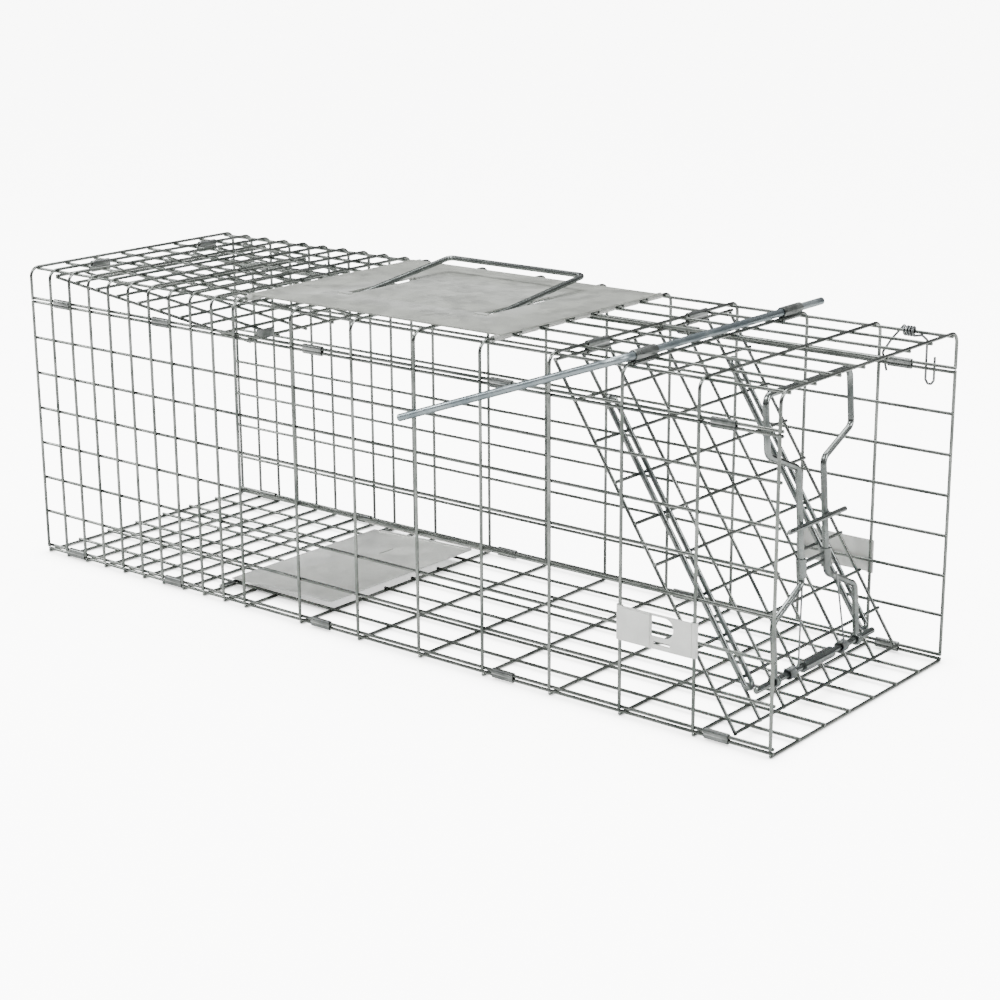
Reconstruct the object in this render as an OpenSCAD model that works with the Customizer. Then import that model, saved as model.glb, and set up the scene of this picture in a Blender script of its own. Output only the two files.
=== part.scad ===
// Live catch trap in welded wire mesh, millimetres, +Z up, floor at z = 0.
// +X is the end with the sloping door, -Y is the side with the lever arm.

/* [Wire] */
// Diameter of the mesh wire
wire_d = 2.4; // [2.2:0.1:2.4]
// Diameter of the lock frame rod
frame_d = 5; // [4:0.5:5]
// Diameter of the trip lever rod
lever_d = 6; // [5:0.5:6]
// Diameter of the carry handle rod
handle_d = 4.6; // [4:0.2:4.6]
// Diameter of the door rails
rail_d = 4; // [3:0.5:4]

/* [Sheet] */
// Thickness of the handle plate
plate_t = 1.2; // [1:0.1:1.4]
// Thickness of the treadle pan
pan_t = 1; // [0.8:0.1:1.2]
// Thickness of the lock brackets
bracket_t = 1.2; // [1:0.1:1.2]

/* [Lock] */
// Length of the lock frame from pivot to top bar
frame_len = 208; // [195:1:208]
// Lean of the lock frame above the horizontal
frame_lean = 86; // [84:0.5:86]

/* [Hidden] */
end = 381;
half_w = 121;
lap = 1.8;
in_y = half_w - lap;
flat = 1.2 * cos(22.5);
roof_z = 258;
long_z = roof_z - lap;
skirt_z = 231.3;
side_top = 228;
side_low = 6.4;
floor_z = 1.109;
floor_in = floor_z + lap;
hinge_z = 252.6;
rear_x = -356;
door_x = 189;
slope = 57;
door_pitch = 32.4;
piv_s = 272;
piv_h = 7.5;
piv_x = door_x + piv_s * cos(slope) + piv_h * sin(slope);
piv_z = hinge_z - piv_s * sin(slope) + piv_h * cos(slope);
lever_x = 253;
lever_z = 263.2;
pan_x = -176;
pan_z = 5.75;
pan_tilt = 1.5;
bail_y = -40;
bail_z = 256.9;
sleeve_x = [-343.5, -218.5, -45, 144, 336];

// Place of mesh wire number i along the cage
function xw(i) = (i <= 10 ? 25 * i : 250 + 64 * (i - 10)) - end;
function unit(v) = v / norm(v);
function turn(u, w) = acos(max(-1, min(1, u * w)));
// Corner i of a path, cut back and replaced by the points of an arc
function corner(p, i, bend, n) =
    let (u = unit(p[i] - p[i - 1]), w = unit(p[i + 1] - p[i]), a = turn(u, w))
    a < 1 ? [p[i]] :
    let (axis = unit(cross(u, w)), inw = cross(axis, u),
        s = p[i] - u * bend * tan(a / 2), c = s + inw * bend, r = bend / cos(a / n / 2))
    [for (k = [0:n - 1]) let (t = a * (k + 0.5) / n) c - inw * r * cos(t) + u * r * sin(t)];
function rounded(p, bend, n) = [p[0], for (i = [1:len(p) - 2]) each corner(p, i, bend, n), p[len(p) - 1]];

// Straight rod with flat sides from a to b
module bar(a, b, dia, sides, ea = 0, eb = 0) {
    v = b - a;
    u = unit(v);
    translate(a - u * ea)
        rotate([0, acos(u[2]), atan2(u[1], u[0])])
            rotate([0, 0, 180 / sides])
                cylinder(h = norm(v) + ea + eb, d = dia, $fn = sides);
}

// Rod bent round the corners of path p
module bent(p, dia, bend, n, sides) {
    q = rounded(p, bend, n);
    chain(q, dia, sides);
}

module chain(q, dia, sides) {
    last = len(q) - 2;
    for (i = [0:last]) {
        ea = i == 0 ? 0 : dia / 2 * tan(turn(unit(q[i] - q[i - 1]), unit(q[i + 1] - q[i])) / 2);
        eb = i == last ? 0 : dia / 2 * tan(turn(unit(q[i + 1] - q[i]), unit(q[i + 2] - q[i + 1])) / 2);
        bar(q[i], q[i + 1], dia, sides, ea, eb);
    }
}

// Straight wire along X, Y or Z
module wx(y, z, x0, x1) {
    bar([x0, y, z], [x1, y, z], wire_d, 8);
}
module wy(x, z, y0, y1) {
    bar([x, y0, z], [x, y1, z], wire_d, 8);
}
module wz(x, y, z0, z1) {
    bar([x, y, z0], [x, y, z1], wire_d, 8);
}

// Folded sleeve round two wires, r0 and r1, with centres gap apart, lying along X
module sleeve(size, gap, r0, r1, wall = 1.05) {
    w0 = r0 + wall;
    w1 = r1 + wall;
    c = 1.1;
    difference() {
        rotate([90, 0, 90])
            linear_extrude(height = size, center = true)
                polygon([[-w0 + c, -w0], [w0 - c, -w0], [w0, -w0 + c],
                    [w1, gap - 0.5], [w1, gap + w1 - c], [w1 - c, gap + w1], [-w1 + c, gap + w1],
                    [-w1, gap + w1 - c], [-w1, gap - 0.5], [-w0, -w0 + c]]);
        rotate([0, 90, 0])
            cylinder(h = size + 2, r = r0, center = true, $fn = 48);
        translate([0, 0, gap])
            rotate([0, 90, 0])
                cylinder(h = size + 2, r = r1, center = true, $fn = 48);
    }
}

module roof_panel() color([0.66, 0.69, 0.68]) {
    union() {
        for (i = [0:18]) {
            x = xw(i);
            bent([[x, -half_w, 229.9], [x, -half_w, roof_z], [x, half_w, roof_z], [x, half_w, 229.9]],
                wire_d, 8, 2, 8);
        }
        for (k = [-3.5:1:3.5])
            wx(k * 32, long_z, -end - lap, end + lap);
        for (s = [-1, 1])
            wx(s * in_y, skirt_z, -end - lap, end + lap);
    }
}

module side(s) {
    union() {
        for (i = [0:18])
            wz(xw(i), s * half_w, 5.2, 229.2);
        for (k = [0:7])
            wx(s * in_y, side_low + k * (side_top - side_low) / 7, -end - lap, end + lap);
    }
}
module near_side_panel() color([0.64, 0.68, 0.67]) side(-1);
module far_side_panel() color([0.62, 0.66, 0.65]) side(1);

module floor_panel() color([0.6, 0.64, 0.63]) {
    union() {
        for (i = [0:8])
            wy(xw(i), floor_z, -half_w, half_w);
        for (i = [11:18])
            wy(xw(i), floor_z, -half_w, half_w);
        for (i = [9:10])
            for (s = [-1, 1])
                wy(xw(i), floor_z, s * 83.2, s * half_w);
        for (y = [-51, -17, 17, 51]) {
            wx(y, floor_in, -end - lap, xw(8) + lap);
            wx(y, floor_in, xw(11) - lap, end + lap);
        }
        for (y = [-in_y, -85, 85, in_y])
            wx(y, floor_in, -end - lap, end + lap);
    }
}

module edge_sleeves(s, z, gap) {
    for (x = sleeve_x)
        translate([x, s * in_y, z])
            sleeve(20, gap, 1.35, 1.35);
}
module near_roof_sleeves() color([0.7, 0.72, 0.72]) edge_sleeves(-1, side_top, skirt_z - side_top);
module far_roof_sleeves() color([0.7, 0.72, 0.72]) edge_sleeves(1, side_top, skirt_z - side_top);
module near_floor_sleeves() color([0.7, 0.72, 0.72]) edge_sleeves(-1, floor_in, side_low - floor_in);
module far_floor_sleeves() color([0.7, 0.72, 0.72]) edge_sleeves(1, floor_in, side_low - floor_in);

module cross_sleeves(x, z, gap, size, y, r1) {
    for (s = [-1, 1])
        translate([x, s * y, z])
            rotate([0, 0, 90])
                sleeve(size, gap, 1.35, r1);
}
module rear_hinge_sleeves() color([0.74, 0.76, 0.76])
    cross_sleeves(rear_x, hinge_z, roof_z - hinge_z, 20, 64, 1.35);
module door_hinge_sleeves() color([0.74, 0.76, 0.76])
    cross_sleeves(door_x, hinge_z, roof_z - hinge_z, 26, 64, 1.35);
module lever_sleeves() color([0.74, 0.76, 0.76])
    cross_sleeves(lever_x, roof_z, lever_z - roof_z, 26, 96, lever_d / 2 + 0.1);

// Flat mesh flap in its own frame: hinge wire at the origin, cross wires at z = 0
module flap(pitch) {
    for (k = [0:9])
        wy(k * pitch, 0, -113.8, 113.8);
    for (k = [-3.5:1:3.5])
        wx(k * 32, -lap, -lap, 9 * pitch + lap);
}
module rear_frame() {
    translate([rear_x, 0, hinge_z])
        rotate([0, 6.3, 0])
            children();
}
module rear_panel() color([0.62, 0.65, 0.64]) rear_frame() union() flap(26.1);
module rear_panel_clip() color([0.74, 0.76, 0.76]) rear_frame()
    translate([234.9, -96, 0])
        rotate([0, 0, -90])
            clip();
// Folded clip round the end wire, its lip standing up at the free edge
module clip() {
    difference() {
        rotate([90, 0, 90])
            linear_extrude(height = 20, center = true)
                polygon([[-2.4, -1.4], [-1.4, -2.4], [1.4, -2.4], [2.4, -1.4],
                    [2.4, 7], [1.4, 7], [1.4, 2.4], [-1.4, 2.4], [-2.4, 1.4]]);
        rotate([0, 90, 0])
            cylinder(h = 22, r = 1.3, center = true, $fn = 48);
    }
}

// Door frame of reference: x down the slope, z out of the door
module door_frame() {
    translate([door_x, 0, hinge_z])
        rotate([0, slope, 0])
            children();
}
module front_door() color([0.66, 0.69, 0.68]) door_frame() union() flap(door_pitch);

rail_h = flat + rail_d / 2 * cos(15) + 0.03;
// Closed hairpin loop of rod lying on the door
module rail(s) {
    r = 4.5 / cos(22.5);
    door_frame()
        union() {
            for (t = [-1, 1])
                bar([42, s * 80 + t * 4.5, rail_h], [264, s * 80 + t * 4.5, rail_h], rail_d, 12);
            for (e = [-1, 1])
                chain([[153 + e * 111, s * 80 - 4.5, rail_h],
                    for (j = [0:3]) [153 + e * (111 + r * sin(22.5 + 45 * j)),
                        s * 80 - r * cos(22.5 + 45 * j), rail_h],
                    [153 + e * 111, s * 80 + 4.5, rail_h]], rail_d, 12);
        }
}
module near_door_rail() color([0.7, 0.73, 0.72]) rail(-1);
module far_door_rail() color([0.7, 0.73, 0.72]) rail(1);

module lock_pivot_rod() color([0.55, 0.58, 0.58])
    door_frame()
        bar([piv_s, -82, piv_h], [piv_s, 82, piv_h], 5, 12);

module lock_pivot_tube() color([0.6, 0.62, 0.62])
    translate([piv_x, 0, piv_z])
        rotate([90, 0, 0])
            difference() {
                cylinder(h = 40, d = 9, center = true, $fn = 48);
                cylinder(h = 42, r = 2.6, center = true, $fn = 48);
            }

// Lock frame of reference: x up the frame, z toward the rear
module lock_place() {
    translate([piv_x, 0, piv_z])
        rotate([0, -180 + frame_lean, 0])
            children();
}
module lock_frame() color([0.68, 0.71, 0.71]) lock_place() {
    difference() {
        union() {
            for (s = [-1, 1]) {
                bent([[3.2, s * 57, 0], [43, s * 57, 0], [62, s * 17, 0], [148, s * 17, 0], [165, s * 57, 0],
                    [frame_len, s * 57, 0], [frame_len, 0, 0]], frame_d, 7, 2, 12);
                translate([0, s * 57, 0])
                    rotate([90, 0, 0])
                        cylinder(h = frame_d, d = 9.4, center = true, $fn = 12);
            }
        }
        for (s = [-1, 1])
            translate([0, s * 57, 0])
                rotate([90, 0, 0])
                    cylinder(h = 8, r = 2.6, center = true, $fn = 48);
    }
}
module lock_tie_bar() color([0.7, 0.72, 0.72]) lock_place() {
    difference() {
        union() {
            bar([71.5, -15, 0.5], [71.5, 15, 0.5], 3, 12);
            bar([77, -15, 0.5], [77, 15, 0.5], 3, 12);
            for (s = [-1, 1])
                translate([67, s * 17, 0])
                    rotate([0, 90, 0])
                        rotate([0, 0, 15])
                            cylinder(h = 14, d = 8, $fn = 12);
        }
        for (s = [-1, 1])
            translate([60, s * 17, 0])
                rotate([0, 90, 0])
                    cylinder(h = 22, r = 2.7, $fn = 48);
    }
}
module lock_cross_bar() color([0.7, 0.72, 0.72]) lock_place()
    bar([106, -39, -frame_d / 2 * cos(15) - 1.97], [106, 39, -frame_d / 2 * cos(15) - 1.97], 4, 12);

// Torsion spring: four turns round the pivot and one leg up toward the tie bar
module lock_spring(s) {
    lock_place()
        union() {
            q = [for (k = [0:48]) [3.75 * cos(30 * k), s * (36 + 2 * (k - 24) / 12), 3.75 * sin(30 * k)]];
            chain(q, 1.6, 8);
            a = [3.75, s * 40, 0];
            bar(a, [3.75, s * 40, 2.5], 1.6, 8, 0.8, 0);
            b = [3.75, s * 32, 0];
            bar(b, [3.75, s * 32, -4.5], 1.6, 8, 0.8, 0.6);
            bar([3.75, s * 32, -4.5], [62, s * 24, -4.5], 1.6, 8, 0.8, 0);
        }
}
module near_lock_spring() color([0.5, 0.53, 0.53]) lock_spring(-1);
module far_lock_spring() color([0.5, 0.53, 0.53]) lock_spring(1);

// Sheet bracket outside the side mesh, its ends rolled round two vertical wires
module bracket_end(x, s) {
    translate([x, s * half_w, 59])
        difference() {
            cylinder(h = 26, r = 2.6, $fn = 48);
            translate([0, 0, -1])
                cylinder(h = 30, r = 1.4, $fn = 48);
            translate([-3, s > 0 ? -3 : 0.5, -1])
                cube([6, 2.5, 30]);
        }
}
module bracket_plate(s) {
    difference() {
        translate([254, s * 123.3 - bracket_t / 2, 59])
            cube([62, bracket_t, 26]);
        for (x = [253, 317])
            translate([x, s * half_w, 58])
                cylinder(h = 30, r = 1.4, $fn = 48);
    }
    for (x = [253, 317])
        bracket_end(x, s);
}
module near_lock_bracket() color([0.72, 0.74, 0.75]) {
    difference() {
        union() {
            bracket_plate(-1);
            translate([256, -124.9, 60])
                cube([25, 1.4, 24]);
        }
        translate([293.5, -120, 76])
            rotate([90, 0, 0])
                cylinder(h = 8, r = 7.5, $fn = 48);
        translate([282, -128, 68.5])
            cube([11.5, 8, 15]);
        translate([284, -127, 62.5])
            cube([14, 8, 2.4]);
    }
}
module far_lock_bracket() color([0.72, 0.74, 0.75]) {
    union() {
        bracket_plate(1);
        translate([266, 123.5, 59.5])
            cube([14, 1.5, 25]);
        translate([296, 123.5, 59.5])
            cube([8, 1.3, 25]);
    }
}

module trip_lever() color([0.42, 0.47, 0.52])
    bent([[lever_x, 142, lever_z], [lever_x, -129, lever_z], [52, -129, 192]], lever_d, 14, 3, 12);

// Handle plate with rolled tabs round two roof wires and two slots for the handle
module handle_plate() color([0.75, 0.77, 0.78]) {
    difference() {
        union() {
            translate([-134, -100, 259.5])
                cube([262, 200, plate_t]);
            for (x = [-131, 125])
                for (k = [-3:3])
                    translate([x, 32 * k, roof_z])
                        rotate([90, 0, 0])
                            cylinder(h = 20, d = 5, center = true, $fn = 48);
            for (x = [-72, 70])
                translate([x - 6, bail_y - 15, 259.5])
                    cube([12, 5, 2.4]);
        }
        for (x = [-131, 125])
            for (k = [-3:3])
                translate([x, 32 * k, roof_z])
                    rotate([90, 0, 0])
                        cylinder(h = 22, r = 1.4, center = true, $fn = 48);
        for (x = [-72, 70])
            translate([x - 4.2, bail_y - 7, 257])
                cube([8.4, 83, 8]);
    }
}
module carry_handle() color([0.62, 0.65, 0.66])
    translate([0, bail_y, bail_z])
        rotate([7.4, 0, 0])
            bent([[-84, 0, 0], [-72, 0, 0], [-72, 118, 0], [70, 118, 0], [70, 0, 0], [82, 0, 0]],
                handle_d, 5, 3, 12);

// Pan frame of reference: pivot rod at the origin, front edge raised
module pan_place() {
    translate([pan_x, 0, pan_z])
        rotate([0, -pan_tilt, 0])
            children();
}
module treadle_pan() color([0.72, 0.74, 0.73]) pan_place() {
    difference() {
        union() {
            translate([-2, -90, 2])
                cube([116, 180, pan_t]);
            for (s = [-1, 1])
                translate([0, s * 50, 0])
                    rotate([90, 0, 0])
                        cylinder(h = 50, r = 2.65, center = true, $fn = 48);
            for (s = [-1, 1])
                translate([6, s * 88.5 - 1.5, 2.4])
                    cube([106, 3, 1.4]);
            translate([112, -90, 2.4])
                cube([2, 180, 1.4]);
        }
        for (s = [-1, 1])
            translate([0, s * 50, 0])
                rotate([90, 0, 0])
                    cylinder(h = 52, r = 1.6, center = true, $fn = 48);
        translate([54, 34, 1])
            cube([2, 18, 4]);
    }
}
module treadle_rod() color([0.58, 0.6, 0.6])
    bar([pan_x, -106, pan_z], [pan_x, 106, pan_z], 3, 12);
module far_edge_rod() color([0.82, 0.82, 0.78])
    bar([-207, 110, 6.4], [-58, 110, 6.4], 4, 12);

// Sprung hook: four turns round the top wire, a J leg outside and a bent leg
module spring_hook() color([0.6, 0.63, 0.64])
    translate([347, 112, long_z]) {
        coil = [for (k = [0:28]) [2.4 * (k - 14) / 8, 3.2 * cos(45 * k + 90), 3.2 * sin(45 * k + 90)]];
        tail = [[-25, 12.4, -36], [-29, 12.4, -22], [-21, 12.2, -10], [-9, 7, 2]];
        hook = [[6, 8, -4], [8, 12.4, -8], [8, 12.4, -38], [10, 12.4, -41], [13, 12.4, -41],
            [15, 12.4, -38], [15, 12.4, -20]];
        chain(concat(tail, coil, hook), 2, 8);
    }

roof_panel();
near_side_panel();
far_side_panel();
floor_panel();
near_roof_sleeves();
far_roof_sleeves();
near_floor_sleeves();
far_floor_sleeves();
rear_hinge_sleeves();
door_hinge_sleeves();
lever_sleeves();
rear_panel();
rear_panel_clip();
front_door();
near_door_rail();
far_door_rail();
lock_pivot_rod();
lock_pivot_tube();
lock_frame();
lock_tie_bar();
lock_cross_bar();
near_lock_spring();
far_lock_spring();
near_lock_bracket();
far_lock_bracket();
trip_lever();
handle_plate();
carry_handle();
treadle_pan();
treadle_rod();
far_edge_rod();
spring_hook();
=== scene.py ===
import math
import bpy
from mathutils import Vector, Matrix, Quaternion, noise


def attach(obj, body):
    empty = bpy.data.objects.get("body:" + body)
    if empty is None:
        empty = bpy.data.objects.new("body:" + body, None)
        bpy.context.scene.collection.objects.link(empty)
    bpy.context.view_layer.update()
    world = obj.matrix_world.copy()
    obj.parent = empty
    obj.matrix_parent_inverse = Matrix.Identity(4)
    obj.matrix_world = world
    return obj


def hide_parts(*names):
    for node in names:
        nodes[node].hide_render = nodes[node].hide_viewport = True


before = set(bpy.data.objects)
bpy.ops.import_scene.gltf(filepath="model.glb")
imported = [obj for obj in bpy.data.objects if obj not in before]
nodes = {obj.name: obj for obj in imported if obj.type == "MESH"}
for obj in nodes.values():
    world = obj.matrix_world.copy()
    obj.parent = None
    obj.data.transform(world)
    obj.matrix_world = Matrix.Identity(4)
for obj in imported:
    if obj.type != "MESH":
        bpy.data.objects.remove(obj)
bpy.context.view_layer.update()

MM = 0.001
scene = bpy.context.scene
V = Vector

# ---------------------------------------------------------------- shapes


def arc_path(points, bend, n=7):
    """Path with its corners turned into arcs of radius bend."""
    pts = [V(p) for p in points]
    out = [pts[0]]
    for i in range(1, len(pts) - 1):
        u = (pts[i] - pts[i - 1]).normalized()
        w = (pts[i + 1] - pts[i]).normalized()
        a = u.angle(w)
        if a < 0.02:
            out.append(pts[i])
            continue
        axis = u.cross(w).normalized()
        inw = axis.cross(u)
        s = pts[i] - u * bend * math.tan(a / 2)
        c = s + inw * bend
        for k in range(n + 1):
            t = a * k / n
            out.append(c - inw * bend * math.cos(t) + u * bend * math.sin(t))
    out.append(pts[-1])
    return out


class Build:
    """Collects tubes, strips and lumps into one mesh, in millimetres."""

    def __init__(self):
        self.v = []
        self.f = []

    def ring(self, c, a, b, r, n):
        i = len(self.v)
        for k in range(n):
            t = 2 * math.pi * k / n
            self.v.append(c + a * (r * math.cos(t)) + b * (r * math.sin(t)))
        return i

    def join(self, i, j, n):
        for k in range(n):
            m = (k + 1) % n
            self.f.append((i + k, i + m, j + m, j + k))

    def tube(self, path, r, n=12, closed=False, soft=0.25):
        pts = [V(p) for p in path]
        q = []
        for p in pts:
            if not q or (p - q[-1]).length > 1e-4:
                q.append(p)
        pts = q
        m = len(pts)
        tang = []
        for i in range(m):
            p0 = pts[(i - 1) % m] if closed or i > 0 else pts[i]
            p1 = pts[(i + 1) % m] if closed or i < m - 1 else pts[i]
            tang.append(((pts[i] - p0).normalized() + (p1 - pts[i]).normalized()).normalized())
        up = V((0, 0, 1)) if abs(tang[0].z) < 0.9 else V((1, 0, 0))
        a = tang[0].cross(up).normalized()
        rings = []
        for i in range(m):
            a = (a - tang[i] * a.dot(tang[i])).normalized()
            b = tang[i].cross(a)
            if not closed and i == 0:
                rings.append(self.ring(pts[0], a, b, r * (1 - soft), n))
                rings.append(self.ring(pts[0] + tang[0] * r * soft, a, b, r, n))
            elif not closed and i == m - 1:
                rings.append(self.ring(pts[i] - tang[i] * r * soft, a, b, r, n))
                rings.append(self.ring(pts[i], a, b, r * (1 - soft), n))
            else:
                rings.append(self.ring(pts[i], a, b, r, n))
        for i in range(len(rings) - 1):
            self.join(rings[i], rings[i + 1], n)
        if closed:
            self.join(rings[-1], rings[0], n)
        else:
            self.f.append(tuple(reversed(range(rings[0], rings[0] + n))))
            self.f.append(tuple(range(rings[-1], rings[-1] + n)))

    def lump(self, c, sx, sy, sz):
        """Small weld swelling where two wires cross."""
        c = V(c)
        i = len(self.v)
        n = 8
        for j, (h, w) in enumerate(((-0.95, 0.3), (-0.6, 0.8), (0, 1), (0.6, 0.8), (0.95, 0.3))):
            for k in range(n):
                t = 2 * math.pi * k / n
                self.v.append(c + V((sx * w * math.cos(t), sy * w * math.sin(t), sz * h)))
        for j in range(4):
            self.join(i + j * n, i + (j + 1) * n, n)
        self.f.append(tuple(reversed(range(i, i + n))))
        self.f.append(tuple(range(i + 4 * n, i + 5 * n)))

    def strip(self, outline, thick, size, place):
        """Sheet of a given thickness following an open outline, extruded along local x."""
        pts = [V((p[0], p[1])) for p in outline]
        left, right = [], []
        for i, p in enumerate(pts):
            p0 = pts[max(i - 1, 0)]
            p1 = pts[min(i + 1, len(pts) - 1)]
            d = (p1 - p0).normalized()
            nrm = V((-d.y, d.x))
            left.append(p + nrm * thick / 2)
            right.append(p - nrm * thick / 2)
        loop = left + list(reversed(right))
        n = len(loop)
        rows = []
        e = min(0.22, thick / 3)
        for x, k in ((-size / 2, e), (-size / 2 + e, 0), (size / 2 - e, 0), (size / 2, e)):
            row = len(self.v)
            for i, p in enumerate(loop):
                j = i if i < len(pts) else n - 1 - i
                q = p + (pts[j] - p).normalized() * k
                self.v.append(place @ V((x, q.x, q.y)))
            rows.append(row)
        for a, b in zip(rows, rows[1:]):
            self.join(a, b, n)
        h = len(pts)
        for row, flip in ((rows[0], True), (rows[-1], False)):
            for i in range(h - 1):
                q = (row + i, row + i + 1, row + n - 2 - i, row + n - 1 - i)
                self.f.append(tuple(reversed(q)) if flip else q)

    def make(self, name, material, body, slot, stands_for, xf=None, flat=38):
        xf = xf or Matrix.Identity(4)
        me = bpy.data.meshes.new(name)
        me.from_pydata([(xf @ p) * MM for p in self.v], [], self.f)
        me.validate()
        ob = bpy.data.objects.new(name, me)
        scene.collection.objects.link(ob)
        for p in me.polygons:
            p.use_smooth = True
        me.set_sharp_from_angle(angle=math.radians(flat))
        me.materials.append(material)
        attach(ob, body)
        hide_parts(*stands_for)
        return ob


# ---------------------------------------------------------------- materials


class Mat:
    def __init__(self, name):
        self.m = bpy.data.materials.new(name)
        self.m.use_nodes = True
        self.t = self.m.node_tree
        self.t.nodes.clear()
        self.out = self.n("ShaderNodeOutputMaterial")
        self.bsdf = self.n("ShaderNodeBsdfPrincipled")
        self.link(self.bsdf.outputs[0], self.out.inputs[0])
        self.co = self.n("ShaderNodeTexCoord").outputs["Object"]

    def n(self, kind, **kw):
        x = self.t.nodes.new(kind)
        for k, v in kw.items():
            setattr(x, k, v)
        return x

    def link(self, a, b):
        self.t.links.new(a, b)

    def noise(self, scale, detail=4, rough=0.6, vec=None):
        x = self.n("ShaderNodeTexNoise")
        x.inputs["Scale"].default_value = scale
        x.inputs["Detail"].default_value = detail
        x.inputs["Roughness"].default_value = rough
        self.link(vec or self.co, x.inputs["Vector"])
        return x.outputs["Fac"]

    def range(self, v, a, b, c, d):
        x = self.n("ShaderNodeMapRange")
        for i, k in enumerate((a, b, c, d)):
            x.inputs[i + 1].default_value = k
        self.link(v, x.inputs[0])
        return x.outputs[0]

    def math(self, op, a, b):
        x = self.n("ShaderNodeMath", operation=op)
        for i, k in enumerate((a, b)):
            if isinstance(k, (int, float)):
                x.inputs[i].default_value = k
            else:
                self.link(k, x.inputs[i])
        return x.outputs[0]

    def mix(self, f, a, b):
        x = self.n("ShaderNodeMix", data_type="RGBA")
        if isinstance(f, (int, float)):
            x.inputs[0].default_value = f
        else:
            self.link(f, x.inputs[0])
        for i, k in ((6, a), (7, b)):
            if isinstance(k, tuple):
                x.inputs[i].default_value = (*k, 1)
            else:
                self.link(k, x.inputs[i])
        return x.outputs[2]

    def bump(self, h, strength, dist, normal=None):
        x = self.n("ShaderNodeBump")
        x.inputs["Strength"].default_value = strength
        x.inputs["Distance"].default_value = dist
        self.link(h, x.inputs["Height"])
        if normal:
            self.link(normal, x.inputs["Normal"])
        return x.outputs[0]


def metal(name, light, dark, dull, rough, grain=500, spangle=0.0, wear=0.0, metallic=1.0):
    """Zinc-coated steel: patchy tone, dull oxide bloom, fine grain, and spangle on sheet."""
    m = Mat(name)
    patch = m.range(m.noise(38, 5), 0.35, 0.68, 0, 1)
    fine = m.range(m.noise(grain, 3), 0.3, 0.7, 0, 1)
    col = m.mix(patch, light, dark)
    col = m.mix(m.math("MULTIPLY", fine, 0.35), col, dark)
    bloom = m.range(m.noise(14, 6, 0.7), 0.53, 0.68, 0, 1)
    col = m.mix(m.math("MULTIPLY", bloom, 0.55), col, dull)
    r = m.math("ADD", m.math("MULTIPLY", patch, 0.12), rough)
    r = m.math("ADD", r, m.math("MULTIPLY", bloom, 0.16))
    nrm = m.bump(fine, 0.22, 0.00012)
    nrm = m.bump(m.noise(150, 3), 0.25, 0.0003, nrm)
    if spangle:
        warp = m.n("ShaderNodeVectorMath", operation="ADD")
        m.link(m.co, warp.inputs[0])
        wn = m.n("ShaderNodeTexNoise")
        wn.inputs["Scale"].default_value = 90
        m.link(m.co, wn.inputs["Vector"])
        sc = m.n("ShaderNodeVectorMath", operation="SCALE")
        sc.inputs["Scale"].default_value = 0.012
        m.link(wn.outputs["Color"], sc.inputs[0])
        m.link(sc.outputs[0], warp.inputs[1])
        vo = m.n("ShaderNodeTexVoronoi")
        vo.inputs["Scale"].default_value = 95
        m.link(warp.outputs[0], vo.inputs["Vector"])
        bw = m.n("ShaderNodeRGBToBW")
        m.link(vo.outputs["Color"], bw.inputs[0])
        tone = m.range(bw.outputs[0], 0.1, 0.9, 0, 1)
        col = m.mix(m.math("MULTIPLY", tone, spangle), col, dark)
        r = m.math("ADD", r, m.math("MULTIPLY", tone, spangle * 0.3))
    if wear:
        g = m.n("ShaderNodeNewGeometry")
        edge = m.range(g.outputs["Pointiness"], 0.51, 0.56, 0, wear)
        col = m.mix(edge, col, (0.86, 0.87, 0.87))
    m.link(col, m.bsdf.inputs["Base Color"])
    m.link(r, m.bsdf.inputs["Roughness"])
    m.link(nrm, m.bsdf.inputs["Normal"])
    m.bsdf.inputs["Metallic"].default_value = metallic
    return m.m


MESH = metal("galvanised_wire", (0.34, 0.36, 0.34), (0.10, 0.115, 0.105), (0.27, 0.29, 0.27), 0.18)
HEAVY = metal("plated_rod", (0.33, 0.355, 0.345), (0.11, 0.125, 0.12), (0.27, 0.29, 0.28), 0.19)
LEVER = metal("lever_rod", (0.36, 0.41, 0.43), (0.17, 0.21, 0.23), (0.40, 0.44, 0.45), 0.27)
SPRING = metal("spring_wire", (0.36, 0.38, 0.38), (0.14, 0.15, 0.15), (0.28, 0.28, 0.27), 0.25)
PALE = metal("pale_rod", (0.82, 0.82, 0.79), (0.68, 0.68, 0.65), (0.74, 0.73, 0.69), 0.42, metallic=0.6)
SHEET = metal("zinc_sheet", (0.50, 0.515, 0.48), (0.43, 0.445, 0.41), (0.47, 0.485, 0.45), 0.42,
              spangle=0.4, wear=0.3)
PAN = metal("bright_sheet", (0.93, 0.94, 0.90), (0.74, 0.755, 0.72), (0.85, 0.86, 0.82), 0.38,
            spangle=0.4, wear=0.3, metallic=0.85)
CLIP = metal("zinc_clip", (0.40, 0.42, 0.41), (0.10, 0.11, 0.105), (0.27, 0.29, 0.28), 0.22,
             spangle=0.2, wear=0.35)

# ---------------------------------------------------------------- sizes in mm, as in the frame

# Cage: half length and half width, overlap of two wires, mesh wire radius
END, HALF, LAP = 381.0, 121.0, 1.8
IN_Y = HALF - LAP
R = 1.33
WELD_W, WELD_H = 1.35, 1.3
# Heights of the wires, from the roof down
ROOF, LONG, SKIRT = 258.0, 256.2, 231.3
TOP, LOW = 228.0, 6.4
FLOOR, FLOOR_IN = 1.3, 3.05
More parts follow.
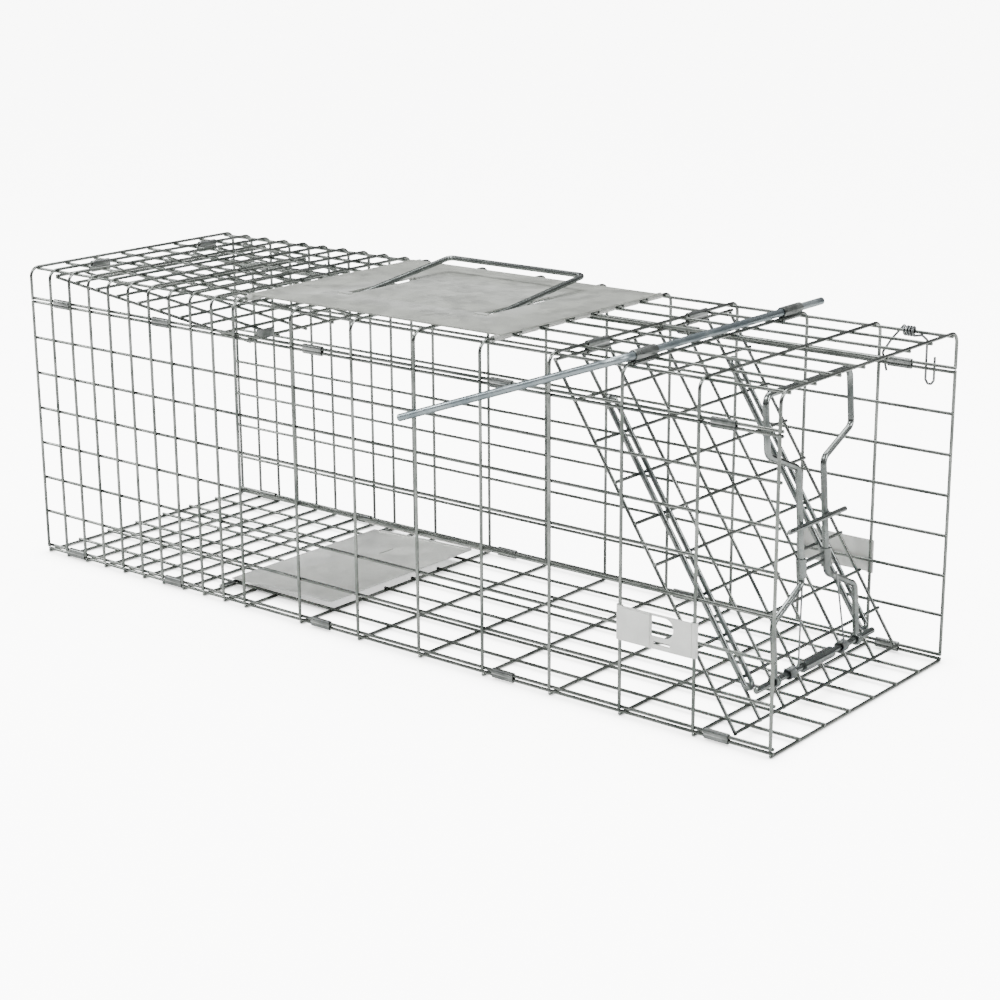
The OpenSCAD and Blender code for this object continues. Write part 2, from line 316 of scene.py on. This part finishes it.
# Both flap hinges, and the door's slope in degrees
HINGE_Z, REAR_X, DOOR_X, SLOPE = 252.6, -356.0, 189.0, 57.0
REAR_TILT, LEAN, BAIL_TILT = 6.3, 86, 7.4
SLEEVES = (-343.5, -218.5, -45, 144, 336)
CLIP_R, CLIP_T = 1.85, 0.95
ROWS = [(k - 3.5) * 32 for k in range(8)]
PIVOT_S, PIVOT_H = 272, 7.5
RAIL_Y, EYE_Y = 80, 57
# Rod radii, the CAD's own or a hair under
PIVOT_R, HOOP_R, BAIL_R, LEVER_R = 2.48, 2.46, 2.26, 2.96
RAIL_R, CROSS_R, TIE_R, TREADLE_R, EDGE_R = 1.97, 1.95, 1.5, 1.48, 1.97
COIL_R, HOOK_R = 0.78, 0.97
REAR_PITCH, DOOR_PITCH = 26.1, 32.4
SHEET_PIECES = ("handle_plate", "treadle_pan", "near_lock_bracket", "far_lock_bracket", "lock_pivot_tube")


def xw(i):
    return (25 * i if i <= 10 else 250 + 64 * (i - 10)) - END


def wob(seed, size=0.25):
    """Small repeatable offset, so that no two wires lie perfectly true."""
    return noise.noise(V((seed * 0.731, seed * 1.37 + 4.2, 2.1))) * size


def run(b, p, q, r=R, n=12, seed=0.0, size=0.22):
    """A wire from p to q that wanders very slightly between its ends."""
    p, q = V(p), V(q)
    m = max(1, int((q - p).length / 90))
    path = [p]
    for k in range(1, m):
        c = p.lerp(q, k / m)
        c += V((wob(seed + k * 3.1, size), wob(seed + k * 5.7 + 9, size), wob(seed + k * 7.3 + 20, size))) * 0.5
        path.append(c)
    b.tube(path + [q], r, n)


# Roof
b = Build()
for i in range(19):
    x = xw(i)
    b.tube(arc_path([(x, -HALF, 229.9), (x, -HALF, ROOF), (x, HALF, ROOF), (x, HALF, 229.9)], 8), R)
    for y in ROWS:
        b.lump((x, y, (ROOF + LONG) / 2), WELD_W, WELD_W, WELD_H)
    for s in (-1, 1):
        b.lump((x, s * (HALF - 0.9), SKIRT), WELD_W, WELD_H, WELD_W)
for k, y in enumerate(ROWS):
    run(b, (-END - LAP, y, LONG), (END + LAP, y, LONG), seed=k)
for s in (-1, 1):
    run(b, (-END - LAP, s * IN_Y, SKIRT), (END + LAP, s * IN_Y, SKIRT), seed=20 + s, size=0.1)
b.make("roof_mesh", MESH, "cage", "mesh_wire", ["roof_panel"])

# Sides
for s, name in ((-1, "near_side"), (1, "far_side")):
    b = Build()
    for i in range(19):
        b.tube([(xw(i), s * HALF, 5.2), (xw(i), s * HALF, 229.2)], R)
        for k in range(8):
            b.lump((xw(i), s * (HALF - 0.9), LOW + k * (TOP - LOW) / 7), WELD_W, WELD_H, WELD_W)
    for k in range(8):
        z = LOW + k * (TOP - LOW) / 7
        size = 0.08 if k in (0, 7) else 0.22
        run(b, (-END - LAP, s * IN_Y, z), (END + LAP, s * IN_Y, z), seed=40 + k * 2 + s, size=size)
    b.make(name + "_mesh", MESH, "cage", "mesh_wire", [name + "_panel"])

# Floor
b = Build()
rows = [(-IN_Y, 0), (-85, 0), (-51, 1), (-17, 1), (17, 1), (51, 1), (85, 0), (IN_Y, 0)]
for i in range(19):
    x = xw(i)
    if i in (9, 10):
        for s in (-1, 1):
            b.tube([(x, s * 83.2, FLOOR), (x, s * HALF, FLOOR)], R)
    else:
        b.tube([(x, -HALF, FLOOR), (x, HALF, FLOOR)], R)
    for y, cut in rows:
        if not (cut and i in (9, 10)):
            b.lump((x, y, 2.1), WELD_W, WELD_W, WELD_H)
for y, cut in rows:
    if cut:
        run(b, (-END - LAP, y, FLOOR_IN), (xw(8) + LAP, y, FLOOR_IN), seed=y, size=0.1)
        run(b, (xw(11) - LAP, y, FLOOR_IN), (END + LAP, y, FLOOR_IN), seed=y + 3, size=0.1)
    else:
        run(b, (-END - LAP, y, FLOOR_IN), (END + LAP, y, FLOOR_IN), seed=y, size=0.1)
b.make("floor_mesh", MESH, "cage", "mesh_wire", ["floor_panel"])


def wrap(r0, r1, gap, seam=0.5, pinch=0.25, n=14):
    """Outline of a strip folded round two wires, its ends meeting at one side."""
    out = []
    for k in range(n + 1):
        t = -math.pi + math.pi * k / n
        out.append((r0 * math.cos(t), r0 * math.sin(t)))
    for j in range(1, 6):
        f = j / 6
        w = r0 + (r1 - r0) * f - pinch * math.sin(math.pi * f)
        out.append((w, gap * f))
    for k in range(n + 1):
        t = math.pi * k / n
        out.append((r1 * math.cos(t), gap + r1 * math.sin(t)))
    for j in range(1, 6):
        f = j / 6
        w = r1 + (r0 - r1) * f - pinch * math.sin(math.pi * f)
        y = gap * (1 - f)
        if y > seam:
            out.append((-w, y))
    return out


def place(x, y, z, turn=0.0, flip=False):
    m = Matrix.Translation(V((x, y, z))) @ Matrix.Rotation(math.radians(turn), 4, "Z")
    if flip:
        m = m @ Matrix.Rotation(math.pi, 4, "Z")
    return m


for s, side in ((-1, "near"), (1, "far")):
    for level, z, gap in (("roof", TOP, SKIRT - TOP), ("floor", FLOOR_IN, LOW - FLOOR_IN)):
        b = Build()
        for j, x in enumerate(SLEEVES):
            b.strip(wrap(CLIP_R, CLIP_R, gap), CLIP_T, 20, place(x, s * IN_Y, z, 0, s < 0))
        b.make(f"{side}_{level}_clips", CLIP, "cage", "sheet_clip", [f"{side}_{level}_sleeves"])

for name, x, z, gap, size, y, r1 in (
    ("rear_hinge", REAR_X, HINGE_Z, ROOF - HINGE_Z, 20, 64, CLIP_R),
    ("door_hinge", DOOR_X, HINGE_Z, ROOF - HINGE_Z, 26, 64, CLIP_R),
    ("lever", 253, ROOF, 5.2, 26, 96, 3.65),
):
    b = Build()
    for s in (-1, 1):
        seam = 2.2 if name == "lever" else 0.6
        b.strip(wrap(CLIP_R, r1, gap, seam=seam), CLIP_T, size, place(x, s * y, z, 90))
    b.make(f"{name}_clips", CLIP, "cage", "sheet_clip", [f"{name}_sleeves"])


# Flaps: rear panel and front door, in their own frames
def flap(pitch, seed):
    b = Build()
    for k in range(10):
        run(b, (k * pitch, -113.8, 0), (k * pitch, 113.8, 0), seed=seed + k, size=0.12)
        for y in ROWS:
            b.lump((k * pitch, y, -0.9), WELD_W, WELD_W, WELD_H)
    for j, y in enumerate(ROWS):
        run(b, (-LAP, y, -LAP), (9 * pitch + LAP, y, -LAP), seed=seed + 20 + j, size=0.12)
    return b


REAR = Matrix.Translation((REAR_X, 0, HINGE_Z)) @ Matrix.Rotation(math.radians(REAR_TILT), 4, "Y")
DOOR = Matrix.Translation((DOOR_X, 0, HINGE_Z)) @ Matrix.Rotation(math.radians(SLOPE), 4, "Y")
flap(REAR_PITCH, 3).make("rear_flap_mesh", MESH, "rear_flap", "mesh_wire", ["rear_panel"], REAR)
flap(DOOR_PITCH, 70).make("door_mesh", MESH, "door", "mesh_wire", ["front_door"], DOOR)

b = Build()
lip = [(1.75, 6.9), (1.75, 4), (1.75, 0)]
lip += [(1.75 * math.cos(t * 0.35), 1.75 * math.sin(t * 0.35)) for t in range(-1, -14, -1)]
b.strip(lip, 0.8, 20, Matrix.Translation((234.9, -96, 0)) @ Matrix.Rotation(-math.pi / 2, 4, "Z"))
b.make("rear_flap_clip", CLIP, "rear_flap", "sheet_clip", ["rear_panel_clip"], REAR)

# The rail rests on the flats of the CAD prisms: half a mesh wire, half a rail, and a gap
RAIL_H = 1.109 + 2 * math.cos(math.radians(15)) + 0.03
for s, side in ((-1, "near"), (1, "far")):
    b = Build()
    loop = []
    for c, e in ((264, 0), (42, math.pi)):
        for k in range(13):
            t = -math.pi / 2 + math.pi * k / 12 + e
            loop.append((c + 4.5 * math.cos(t), s * RAIL_Y + 4.5 * math.sin(t), RAIL_H))
    b.tube(loop, RAIL_R, 16, closed=True)
    for k in range(2, 9):
        for t in (-1, 1):
            b.lump((k * DOOR_PITCH, s * RAIL_Y + t * 4.5, 1.15), 1.9, 1.7, 0.9)
    b.make(f"{side}_rail_loop", HEAVY, "door", "heavy_wire", [f"{side}_door_rail"], DOOR)

b = Build()
b.tube([(PIVOT_S, -82, PIVOT_H), (PIVOT_S, 82, PIVOT_H)], PIVOT_R, 20)
b.make("pivot_rod", HEAVY, "door", "heavy_wire", ["lock_pivot_rod"], DOOR)

# Lock frame
PIV = DOOR @ V((PIVOT_S, 0, PIVOT_H))
LOCK = Matrix.Translation(PIV) @ Matrix.Rotation(math.radians(-180 + LEAN), 4, "Y")
FRAME_LEN = 208.0
b = Build()
half = [(43, EYE_Y, 0), (62, 17, 0), (148, 17, 0), (165, EYE_Y, 0)]
path = half + [(FRAME_LEN, EYE_Y, 0)]
full = [(3.4, EYE_Y, 0)] + path + [(x, -y, z) for x, y, z in reversed(path)] + [(3.4, -EYE_Y, 0)]
b.tube(arc_path(full, 7, 8), HOOP_R, 20)
for s in (-1, 1):
    for dy in (-1.25, 1.25):
        turns = [2 * math.pi * k / 28 for k in range(28)]
        ring = [(3.65 * math.cos(t), s * EYE_Y + dy, 3.65 * math.sin(t)) for t in turns]
        b.tube(ring, 1.22, 12, closed=True)
b.make("lock_hoop", HEAVY, "lock", "heavy_wire", ["lock_frame"], LOCK)

b = Build()
for u in (71.5, 77):
    b.tube([(u, -15.2, 0.5), (u, 15.2, 0.5)], TIE_R, 14)
for s in (-1, 1):
    turns = [math.radians(a) for a in range(15, 346, 15)]
    roll = [(3.35 * math.cos(a), 3.35 * math.sin(a)) for a in turns]
    b.strip(roll, 1.1, 14, Matrix.Translation((74, s * 17, 0)))
b.make("lock_tie", HEAVY, "lock", "heavy_wire", ["lock_tie_bar"], LOCK)
b = Build()
b.tube([(106, -39, -4.38), (106, 39, -4.38)], CROSS_R, 16)
b.make("lock_cross_rod", HEAVY, "lock", "heavy_wire", ["lock_cross_bar"], LOCK)

for s, side in ((-1, "near"), (1, "far")):
    b = Build()
    coil = []
    for k in range(97):
        a = math.radians(15 * k)
        coil.append((3.72 * math.cos(a), s * (36 + (k - 48) / 12), 3.72 * math.sin(a)))
    head = arc_path([(62, s * 24, -4.5), (5.2, s * 32, -4.5), (3.72, s * 32, -2.4)], 1.0, 4)
    b.tube(head + coil + [(3.75, s * 40, 2.6)], COIL_R, 10)
    b.make(f"{side}_coil_spring", SPRING, "lock", "spring_wire", [f"{side}_lock_spring"], LOCK)

# Trip lever, handle, treadle rod, edge rod
b = Build()
b.tube(arc_path([(253, 142, 263.2), (253, -129, 263.2), (52, -129, 192)], 14, 12), LEVER_R, 24)
b.make("lever_rod_bent", LEVER, "lever", "lever_rod", ["trip_lever"])

b = Build()
bail = [(-84, 0, 0), (-72, 0, 0), (-72, 118, 0), (70, 118, 0), (70, 0, 0), (82, 0, 0)]
b.tube(arc_path(bail, 5, 10), BAIL_R, 20)
HANDLE = Matrix.Translation((0, -40, 256.9)) @ Matrix.Rotation(math.radians(BAIL_TILT), 4, "X")
b.make("carry_bail", HEAVY, "handle", "heavy_wire", ["carry_handle"], HANDLE)

b = Build()
b.tube([(-176, -106, 5.75), (-176, 106, 5.75)], TREADLE_R, 14)
b.make("treadle_pivot_rod", HEAVY, "cage", "heavy_wire", ["treadle_rod"])
b = Build()
run(b, (-207, 110, 6.4), (-58, 110, 6.4), EDGE_R, 16, seed=5)
b.make("edge_rod", PALE, "cage", "pale_rod", ["far_edge_rod"])

# Spring hook
b = Build()
coil = []
for k in range(85):
    a = math.radians(15 * k + 90)
    coil.append((2.4 * (k - 42) / 24, 3.2 * math.cos(a), 3.2 * math.sin(a)))
tail = arc_path([(-25, 12.4, -36), (-29, 12.4, -22), (-21, 12.2, -10), (-9, 7, 2), coil[0]], 3, 5)[:-1]
hook = arc_path([coil[-1], (6, 8, -4), (8, 12.4, -8), (8, 12.4, -38), (10, 12.4, -41), (13, 12.4, -41),
                 (15, 12.4, -38), (15, 12.4, -20)], 1.6, 5)[1:]
b.tube(tail + coil + hook, HOOK_R, 12)
b.make("sprung_hook", SPRING, "hook", "spring_wire", ["spring_hook"], Matrix.Translation((347, 112, 256.2)))

# Sheet pieces and the spacer tube keep their CAD shape, with softened edges
for name in SHEET_PIECES:
    ob = nodes[name]
    ob.data.materials.clear()
    ob.data.materials.append({"handle_plate": SHEET, "lock_pivot_tube": HEAVY}.get(name, PAN))
    bev = ob.modifiers.new("edge", "BEVEL")
    bev.width = 0.35 * MM
    bev.segments = 2
    bev.limit_method = "ANGLE"
    bev.angle_limit = math.radians(50)
    bev.harden_normals = False

# ---------------------------------------------------------------- studio

# Brightness of the seen backdrop, of the seen ground, and of the light from all round
SEEN_GLOW, GROUND_GLOW, AROUND_GLOW = 14.0, 8.6, 0.55

me = bpy.data.meshes.new("ground")
me.from_pydata([(-9, -9, -0.0004), (9, -9, -0.0004), (9, 9, -0.0004), (-9, 9, -0.0004)], [], [(0, 1, 2, 3)])
ground = bpy.data.objects.new("ground", me)
scene.collection.objects.link(ground)
g = Mat("pale_ground")
g.bsdf.inputs["Base Color"].default_value = (0.86, 0.86, 0.85, 1)
g.bsdf.inputs["Roughness"].default_value = 0.9
g.link(g.bump(g.noise(400, 2), 0.05, 0.0005), g.bsdf.inputs["Normal"])
me.materials.append(g.m)
glow = g.n("ShaderNodeEmission")
glow.inputs[0].default_value = (1.0, 1.0, 0.99, 1)
# Painted contact shadow: ambient occlusion darkens the ground's glow wherever parts stand close above it, shade
# painted into the floor
painted_contact_shadow = g.n("ShaderNodeAmbientOcclusion", samples=8)
painted_contact_shadow.inputs["Distance"].default_value = 0.022
g.link(g.math("MULTIPLY", g.math("POWER", painted_contact_shadow.outputs["AO"], 1.6), GROUND_GLOW), glow.inputs[1])
both = g.n("ShaderNodeAddShader")
g.link(g.bsdf.outputs[0], both.inputs[0])
g.link(glow.outputs[0], both.inputs[1])
pick = g.n("ShaderNodeMixShader")
g.link(g.n("ShaderNodeLightPath").outputs["Is Camera Ray"], pick.inputs[0])
g.link(g.bsdf.outputs[0], pick.inputs[1])
g.link(both.outputs[0], pick.inputs[2])
g.link(pick.outputs[0], g.out.inputs[0])

world = bpy.data.worlds.new("studio")
scene.world = world
world.use_nodes = True
t = world.node_tree
t.nodes.clear()
out = t.nodes.new("ShaderNodeOutputWorld")
mixer = t.nodes.new("ShaderNodeMixShader")
seen = t.nodes.new("ShaderNodeBackground")
seen.inputs[0].default_value = (0.93, 0.93, 0.92, 1)
seen.inputs[1].default_value = SEEN_GLOW
around = t.nodes.new("ShaderNodeBackground")
around.inputs[1].default_value = AROUND_GLOW
ramp = t.nodes.new("ShaderNodeValToRGB")
ramp.color_ramp.elements[0].position = 0.0
ramp.color_ramp.elements[0].color = (0.35, 0.35, 0.35, 1)
ramp.color_ramp.elements[1].position = 1.0
ramp.color_ramp.elements[1].color = (1, 1, 1, 1)
for pos, c in ((0.48, 0.22), (0.56, 0.12), (0.68, 0.62)):
    e = ramp.color_ramp.elements.new(pos)
    e.color = (c, c * 1.01, c * 1.02, 1)
co = t.nodes.new("ShaderNodeTexCoord")
sep = t.nodes.new("ShaderNodeSeparateXYZ")
mr = t.nodes.new("ShaderNodeMapRange")
mr.inputs[1].default_value = -1
ray = t.nodes.new("ShaderNodeLightPath")
t.links.new(co.outputs["Generated"], sep.inputs[0])
t.links.new(sep.outputs[2], mr.inputs[0])
t.links.new(mr.outputs[0], ramp.inputs[0])
t.links.new(ramp.outputs[0], around.inputs[0])
t.links.new(ray.outputs["Is Camera Ray"], mixer.inputs[0])
t.links.new(around.outputs[0], mixer.inputs[1])
t.links.new(seen.outputs[0], mixer.inputs[2])
t.links.new(mixer.outputs[0], out.inputs[0])


def lamp(name, at, aim, size, power, colour=(1, 1, 1)):
    d = bpy.data.lights.new(name, "AREA")
    d.shape = "RECTANGLE"
    d.size, d.size_y = size
    d.energy = power
    d.color = colour
    o = bpy.data.objects.new(name, d)
    o.location = at
    o.rotation_mode = "QUATERNION"
    o.rotation_quaternion = (V(aim) - V(at)).to_track_quat("-Z", "Y")
    scene.collection.objects.link(o)


lamp("key", (0.2, -1.6, 2.3), (0, 0, 0.1), (1.2, 0.8), 62)
lamp("top", (-0.3, 0.6, 2.4), (0, 0, 0.1), (2.2, 1.0), 62)
lamp("side", (2.4, 0.5, 1.2), (0.1, 0, 0.1), (0.6, 1.2), 34)
lamp("left", (-2.3, -0.9, 1.1), (-0.1, 0, 0.1), (0.5, 1.2), 34)

cam = bpy.data.cameras.new("camera")
cam.lens = 77.7
cam.sensor_width = 36
cam.clip_start, cam.clip_end = 0.05, 40
camera = bpy.data.objects.new("camera", cam)
scene.collection.objects.link(camera)
camera.location = (1.107, -1.2989, 0.585)
az, el = math.radians(39.29), math.radians(16.22)
look = V((-math.sin(az) * math.cos(el), math.cos(az) * math.cos(el), -math.sin(el)))
camera.rotation_mode = "QUATERNION"
camera.rotation_quaternion = look.to_track_quat("-Z", "Y") @ Quaternion((0, 0, 1), math.radians(-0.36))
scene.camera = camera
